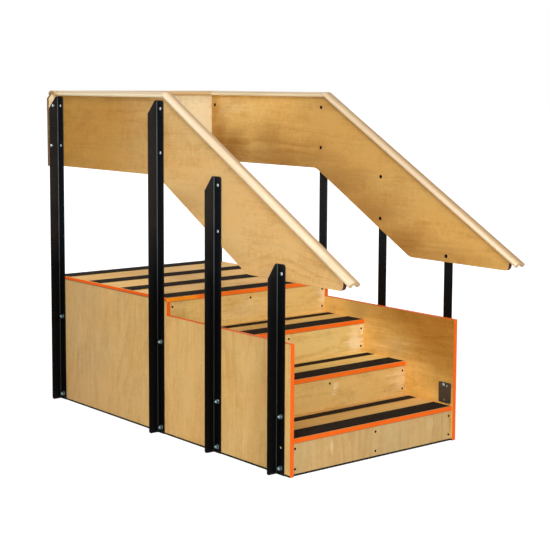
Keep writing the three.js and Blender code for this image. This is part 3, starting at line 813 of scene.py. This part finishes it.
SIDES = {"left": -1, "right": 1}
POSTS = ("front", "lower", "bend", "rear")
BACKWARDS = (0, 1, 0)
ABOVE_STEPS = (0, -0.553, 1)  # square to the line of the steps' edges
DARK_EDGE = (72, 38, 18)
CAP_EDGES = (0.7, 38.0, 40.0)    # bevel, and the limits of rounded and of hard edges
STEEL_EDGES = (34.0, 36.0)

SIDE_PANELS = {
    # Left side panel: the tone darkens towards the back, painted shade; the pale cloud at the front
    # post's spare hole is painted light on the wood seen through it.
    "left": plywood(
        "left_side_plywood", "left_side_panel", "z", "x", 1.0, (219, 179, 111), (203, 166, 107),
        (BACKWARDS, 0.30, 0.85), figure=0.9, ripple=0.8, knots=0.4, streak=0.88,
        stains_and_shade=((0.20, -0.57, 0.60, 0.09, 0.22),), wear_and_painted_light=((0.111, -0.658, 0.018, 0.018, 0.6),)),
    # Right side panel: its inner face darkens higher above the steps' line, the painted shadow of
    # the left rail.
    "right": plywood(
        "right_side_plywood", "right_side_panel", "y", "x", 2.3, (234, 188, 103), (172, 120, 48),
        (ABOVE_STEPS, 0.49, 0.78), figure=1.3, ripple=1.3, knots=1.6, high_face=(212, 172, 109),
        stains_and_shade=((-0.10, 0.50, 0.09, 0.05, 0.22), (-0.59, 0.24, 0.05, 0.05, 0.12)),
        wear_and_painted_light=((-0.30, 0.35, 0.09, 0.05, 0.18),)),
}
RAIL_PANELS = {
    # Left rail panel: the tone darkens towards the back, painted shade; its brown clouds near the
    # lower edge are partly stain, partly painted shade.
    "left": plywood(
        "left_rail_plywood", "left_rail_panel", "y", "x", 5.1, (213, 171, 107), (184, 135, 58),
        (BACKWARDS, 0.1, 0.6), figure=1.15, ripple=1.5, knots=0.9, streak=0.64, edge=DARK_EDGE,
        stains_and_shade=((0.02, 1.03, 0.16, 0.06, 0.30), (-0.30, 0.84, 0.16, 0.05, 0.20))),
    # Right rail panel: its brown clouds are painted shadow on the inner face, along the lower edge
    # and by the back rail panel, where the left rail and the back rail panel shade it.
    "right": plywood(
        "right_rail_plywood", "right_rail_panel", "y", "x", 7.7, (204, 161, 90), (229, 187, 110),
        (BACKWARDS, 0.1, 0.6), figure=1.6, ripple=1.4, knots=0.9, streak=0.74, edge=DARK_EDGE,
        high_face=(208, 166, 100), wear_and_painted_light=((0.85, 1.41, 0.11, 0.06, 0.24),),
        stains_and_shade=((0.88, 1.16, 0.24, 0.17, 0.85), (0.97, 1.23, 0.12, 0.16, 0.82),
                (1.01, 1.36, 0.055, 0.12, 0.55), (0.50, 1.14, 0.50, 0.14, 0.62),
                (0.55, 1.26, 0.20, 0.10, 0.50), (0.06, 1.07, 0.26, 0.12, 0.50),
                (-0.12, 0.96, 0.28, 0.11, 0.48), (-0.36, 0.82, 0.24, 0.11, 0.62),
                (-0.60, 0.77, 0.28, 0.09, 0.40))),
}

for side, sign in SIDES.items():
    carriage = hardwood(side + "_carriage_wood", "y", 3.0 + sign, (206, 170, 118))
    # Level caps: their upright sides are painted light, paler than the top.
    level_wood = hardwood(side + "_level_cap_wood", "y", 11.0 + sign, (220, 194, 156),
                          painted_lit_flank=(252, 232, 190))
    # Sloping caps: the tone turns tan across the crown towards +X, painted shade; on the right cap
    # the turn starts 12 mm nearer the middle.
    low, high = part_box(side + "_sloping_cap")
    middle = (low.x + high.x) / 2 - (0.012 if side == "right" else 0)
    sloping_wood = hardwood(side + "_sloping_cap_wood", "y", 14.0 + sign, (230, 207, 172), SLOPE,
                            painted_shade_across=(middle - 0.020, middle + 0.016, (172, 132, 76)))
    dressed(side + "_side_panel", SIDE_PANELS[side], "plywood", 0.6)
    dressed(side + "_edge_band", ORANGE, "orange_edge", 0.4)
    dressed(side + "_base_strip", RUBBER, "base_rubber", 0.8)
    dressed(side + "_carriage", carriage, "solid_wood", 0.8)
    dressed(side + "_rail_panel", RAIL_PANELS[side], "plywood", 0.8)
    dressed(side + "_level_cap", level_wood, "solid_wood", *CAP_EDGES)
    dressed(side + "_sloping_cap", sloping_wood, "solid_wood", *CAP_EDGES)
    for post in POSTS:
        dressed(f"{side}_{post}_post", BLACK, "black_steel", 0.7, *STEEL_EDGES)
    dressed(side + "_backing_plate", PLATE, "plate_steel", 0.5, *STEEL_EDGES)

RISER_LOOKS = (
    dict(grain="z", tone=(184, 155, 104), figure=1.0, ripple=0.7, streak=0.5,
         wear_and_painted_light=((0.085, -0.24, 0.03, 0.02, 0.26), (0.10, 0.32, 0.03, 0.02, 0.06))),
    dict(grain="x", tone=(207, 170, 102), figure=1.5, ripple=1.4, streak=0.8,
         wear_and_painted_light=((0.03, 0.240, 0.018, 0.030, 0.42), (-0.42, 0.17, 0.05, 0.03, 0.4),
               (0.44, 0.22, 0.07, 0.07, 0.30))),
    dict(grain="x", tone=(220, 188, 117), figure=1.5, ripple=1.4, streak=0.8,
         wear_and_painted_light=((0.40, 0.36, 0.045, 0.07, 0.65), (0.44, 0.40, 0.02, 0.06, 0.6))),
    dict(grain="x", tone=(221, 184, 111), figure=1.5, ripple=1.4, streak=0.8,
         wear_and_painted_light=((0.44, 0.53, 0.05, 0.09, 0.50), (-0.02, 0.53, 0.20, 0.05, 0.16))),
)
for number, look in enumerate(RISER_LOOKS, 1):
    node = f"riser_{number}"
    wood = plywood(node + "_plywood", node, thick="y", seed=20.0 + number * 1.7, knots=0.5,
                   nosing=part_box(node)[1].z, **look)
    dressed(node, wood, "plywood", 0.6)

TREADS = (((212, 170, 100), ORANGE), ((230, 199, 122), STEP_ORANGE), ((226, 186, 112), STEP_ORANGE))
for number, (tone, band) in enumerate(TREADS, 1):
    node = f"tread_{number}"
    wood = plywood(node + "_plywood", node, "x", "z", 30.0 + number * 2.1, tone, knots=0.4,
                   sheen=0.02)
    dressed(node, wood, "plywood", 0.6)
    dressed(node + "_band", band, "orange_edge", 0.5)
    dressed(node + "_grip_wide", TAPE, "grip_strip", 0.35)
    dressed(node + "_grip_narrow", TAPE, "grip_strip", 0.35)

deck = plywood("platform_plywood", "platform_deck", "x", "z", 41.0, (246, 198, 122), knots=0.4,
               sheen=0.02)
dressed("platform_deck", deck, "plywood", 0.6)
dressed("deck_edge_band", DECK_ORANGE, "orange_edge", 0.5)
for number in (1, 2, 3, 4):
    dressed(f"deck_grip_{number}", TAPE, "grip_strip", 0.35)

wall = plywood("back_wall_plywood", "back_wall", "x", "y", 47.0, (210, 170, 110))
rib = plywood("centre_rib_plywood", "centre_rib", "y", "x", 51.0, (208, 168, 108))
back_rail = plywood("back_rail_plywood", "back_rail_panel", "x", "y", 55.0, (232, 212, 168),
                    figure=1.7, ripple=1.9, edge=(122, 86, 46))
dressed("back_wall", wall, "plywood", 0.6)
dressed("centre_rib", rib, "plywood", 0.6)
dressed("back_rail_panel", back_rail, "plywood", 0.8)
dressed("back_cap", hardwood("back_cap_wood", "x", 19.0, (210, 173, 120)), "solid_wood",
        *CAP_EDGES)
dressed("front_base_strip", RUBBER, "base_rubber", 0.8)
dressed("back_base_strip", RUBBER, "base_rubber", 0.8)

# ---------------------------------------------------------------- fasteners
# Places in millimetres: x from the middle plane, y from the front posts' flanges, z from the floor

FRAME_Y = 715.0576            # where the frame's origin is on that y
PANEL_INSIDE, POST_FACE = 450, 471
THREAD_PAST_FACE = 3          # how far a base bolt's plain rod reaches past the post
BASE_BOLTS = {                # y, then z and inner end of the foot's and of the upper bolt
    "front": (57, (28, 420), (236, 447)),
    "lower": (470, (28, 420), (220, 420)),
    "bend": (883, (28, 420), (410, 420)),
    "rear": (1722, (28, 450), (410, 450)),
}
RAIL_BOLTS = {                # y and heights
    "front": (57, (801.64,)),
    "lower": (470, (932.65, 1122.65)),
    "bend": (883, (1238, 1428)),
    "rear": (1722, (1238, 1428)),
}
REAR_FLANGE_BOLTS = ((496, 1428), (506, 1238))   # x and z, through flange and back panel
FLANGE_Y, BACK_PANEL_Y = 1747, 1768
PLATE_INSIDE = 447
PLATE_SCREWS = ((34, 236), (49, 172))            # y and z
RISER_SCREW_X, RISER_SCREW_Z, RISE = (-435, 0, 435), (28, 110), 152

WASHER_THICKNESS = 2 * MM
WASHER = washer(10.5 * MM, 5.3 * MM, WASHER_THICKNESS)
NUT = hex_nut(9.5 * MM, 4.7 * MM, 8 * MM)
BASE_ROD, RAIL_ROD = 4.9 * MM, 3.5 * MM
END = thread(BASE_ROD, 2.4 * MM, 15.8 * MM, 1.5 * MM)
BASE_HEAD = dome_head(9.5 * MM, 5 * MM, 0.9 * MM)
RAIL_HEAD = socket_head(7.6 * MM, 4.6 * MM, 1.0 * MM, 3.0 * MM, 2.4 * MM)
RAIL_CAP = socket_head(8.2 * MM, 3.4 * MM, 0.9 * MM, 2.8 * MM, 1.8 * MM)
RISER_SCREW = cross_screw(5.3 * MM, 3.0 * MM, 0.75 * MM, 2.6 * MM, 1.6 * MM)
PLATE_SCREW = cross_screw(4.6 * MM, 1.2 * MM, 0.75 * MM, 2.6 * MM, 1.4 * MM)


def at(x, y, z):
    """A place in the frame's metres."""
    return x * MM, (y - FRAME_Y) * MM, z * MM


def base_bolt(shell, sign, y, z, inner, turn):
    """A bolt from its domed head at inner, through panel and post, to washer and nut outside."""
    outside, inside = at(sign * POST_FACE, y, z), at(sign * inner, y, z)
    outward = seat(outside, (sign, 0, 0), turn)
    shell.add(WASHER, outward)
    shell.add(NUT, outward @ Matrix.Translation((0, 0, WASHER_THICKNESS)))
    shell.add(END, outward)
    length = (POST_FACE + THREAD_PAST_FACE - inner) * MM
    shell.add(rod(BASE_ROD, length, 20), seat(inside, (sign, 0, 0)))
    shell.add(BASE_HEAD, seat(inside, (-sign, 0, 0)))


def rail_bolt(shell, front, back, direction):
    """A socket-head bolt at front and its black sleeve nut at back, facing apart."""
    length = (Vector(front) - Vector(back)).length
    shell.add(RAIL_HEAD, seat(front, direction), 0)
    shell.add(RAIL_CAP, seat(back, [-v for v in direction]), 1)
    shell.add(rod(RAIL_ROD, length, 18), seat(back, direction), 1)


for side, sign in SIDES.items():
    for number, (post, (y, foot, upper)) in enumerate(BASE_BOLTS.items()):
        for level, (z, inner), turn in (("foot", foot, 0.65), ("upper", upper, 0.35)):
            shell = Shell()
            base_bolt(shell, sign, y, z, inner, turn + number * 0.5)
            bolt = shell.piece(f"{side}_{post}_{level}_bolt_piece", [DULL_ZINC], "zinc_steel")
            if level == "upper":
                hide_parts(f"{side}_{post}_post_bolt")
    for post, (y, heights) in RAIL_BOLTS.items():
        shell = Shell()
        for z in heights:
            rail_bolt(shell, at(sign * POST_FACE, y, z), at(sign * PANEL_INSIDE, y, z),
                      (sign, 0, 0))
        if post == "rear":
            for x, z in REAR_FLANGE_BOLTS:
                rail_bolt(shell, at(sign * x, FLANGE_Y, z), at(sign * x, BACK_PANEL_Y, z),
                          (0, -1, 0))
        shell.piece(f"{side}_{post}_rail_bolts", [ZINC, BLACK_SCREW], "zinc_steel")
    shell = Shell()
    for number, (y, z) in enumerate(PLATE_SCREWS):
        shell.add(PLATE_SCREW, seat(at(sign * PLATE_INSIDE, y, z), (-sign, 0, 0), 0.4 + number))
    shell.piece(side + "_plate_screws", [ZINC], "zinc_steel")

for number in (1, 2, 3, 4):
    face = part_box(f"riser_{number}")[0].y
    base = RISE * (number - 1) * MM
    shell = Shell()
    for i, x in enumerate(RISER_SCREW_X):
        for j, z in enumerate(RISER_SCREW_Z):
            if number == 1 or x or j:    # the upper risers have one screw in the middle
                shell.add(RISER_SCREW, seat((x * MM, face, base + z * MM), (0, -1, 0),
                                            0.3 + i + j * 0.7))
    shell.piece(f"riser_{number}_screws", [BLACK_SCREW], "black_steel")

# ---------------------------------------------------------------- floor, light, camera


def studio_floor():
    """A pale grey floor that glows white to the camera, all the more away from the stairs."""
    graph = material_graph("studio_floor")
    x, y, _ = graph.split(graph.place)
    apart = graph.math("SQRT", graph.add(graph.times(x, x), graph.times(y, y)))
    fine = graph.noise(graph.place, 30.0, 2.0)
    diffuse = graph.node("ShaderNodeBsdfDiffuse")
    graph.put(diffuse.inputs["Color"],
              graph.mix(fine, (0.78, 0.78, 0.78, 1.0), (0.80, 0.80, 0.80, 1.0)))
    glow = graph.node("ShaderNodeEmission")
    graph.fill(glow, WHITE, 1.3)
    mixed = graph.node("ShaderNodeMixShader")
    share = graph.times(graph.seen(), graph.ramp(apart, 1.2, 4.0, 0.66, 1.0))
    graph.put(graph.output.inputs[0],
              graph.fill(mixed, share, diffuse.outputs[0], glow.outputs[0]))
    return graph.owner


def studio_world():
    """White to the camera and in reflections, dimmer as the light of the surround."""
    graph = Graph(bpy.data.worlds.new("studio"), "ShaderNodeOutputWorld")
    upwards = graph.split(graph.direction)[2]
    ambient = graph.ramp(upwards, 0.0, 1.0, 0.38, 0.35, smooth=False)
    sky = graph.node("ShaderNodeBackground")
    graph.put(graph.output.inputs[0],
              graph.fill(sky, WHITE, graph.blend(graph.seen(), ambient, 1.0)))
    return graph.owner


def softbox(name, position, target, size, power):
    light = bpy.data.lights.new(name, "AREA")
    light.shape = "RECTANGLE"
    light.size, light.size_y = size
    light.energy = power
    lamp = bpy.data.objects.new(name, light)
    lamp.location = position
    aim = Vector(target) - Vector(position)
    lamp.rotation_euler = aim.to_track_quat("-Z", "Y").to_euler()
    bpy.context.scene.collection.objects.link(lamp)
    return lamp


FLOOR_REACH = 60
mesh = bpy.data.meshes.new("studio_floor")
mesh.from_pydata([(x * FLOOR_REACH, y * FLOOR_REACH, 0)
                  for x, y in ((-1, -1), (1, -1), (1, 1), (-1, 1))], [], [[0, 1, 2, 3]])
mesh.materials.append(studio_floor())
floor = bpy.data.objects.new("studio_floor", mesh)
bpy.context.scene.collection.objects.link(floor)

bpy.context.scene.world = studio_world()
softbox("left_softbox", (-5.4, -3.6, 2.2), (0.0, -0.1, 0.6), (2.4, 2.0), 75)
softbox("high_softbox", (-2.6, -1.2, 4.6), (0.0, 0.0, 0.8), (2.0, 2.0), 94)
back = softbox("back_softbox", (4.6, 4.2, 1.1), (0.0, 0.0, 0.8), (2.4, 1.6), 190)
back.visible_glossy = False
softbox("front_softbox", (-1.2, -5.6, 1.8), (0.0, 0.0, 0.7), (2.2, 1.8), 158)

# The camera that was fitted to the photograph: its place and its three axes
SENSOR_WIDTH, PHOTO_WIDTH, FOCAL_PIXELS = 36, 550, 1362.3024
camera_data = bpy.data.cameras.new("photo_camera")
camera_data.sensor_width = SENSOR_WIDTH
camera_data.lens = FOCAL_PIXELS / PHOTO_WIDTH * SENSOR_WIDTH
camera_data.shift_y = -0.08
camera_data.clip_end = 500
camera = bpy.data.objects.new("photo_camera", camera_data)
right = Vector((0.774039, -0.633116, 0.005186))
down = Vector((-0.063981, -0.086366, -0.994207))
forward = Vector((0.629896, 0.769223, -0.107359))
turned = Matrix((right, -down, -forward)).transposed().to_4x4()
camera.matrix_world = Matrix.Translation((-3.81672, -4.70273, 1.53711)) @ turned
bpy.context.scene.collection.objects.link(camera)
bpy.context.scene.camera = camera
bpy.context.scene.view_settings.view_transform = "Standard"
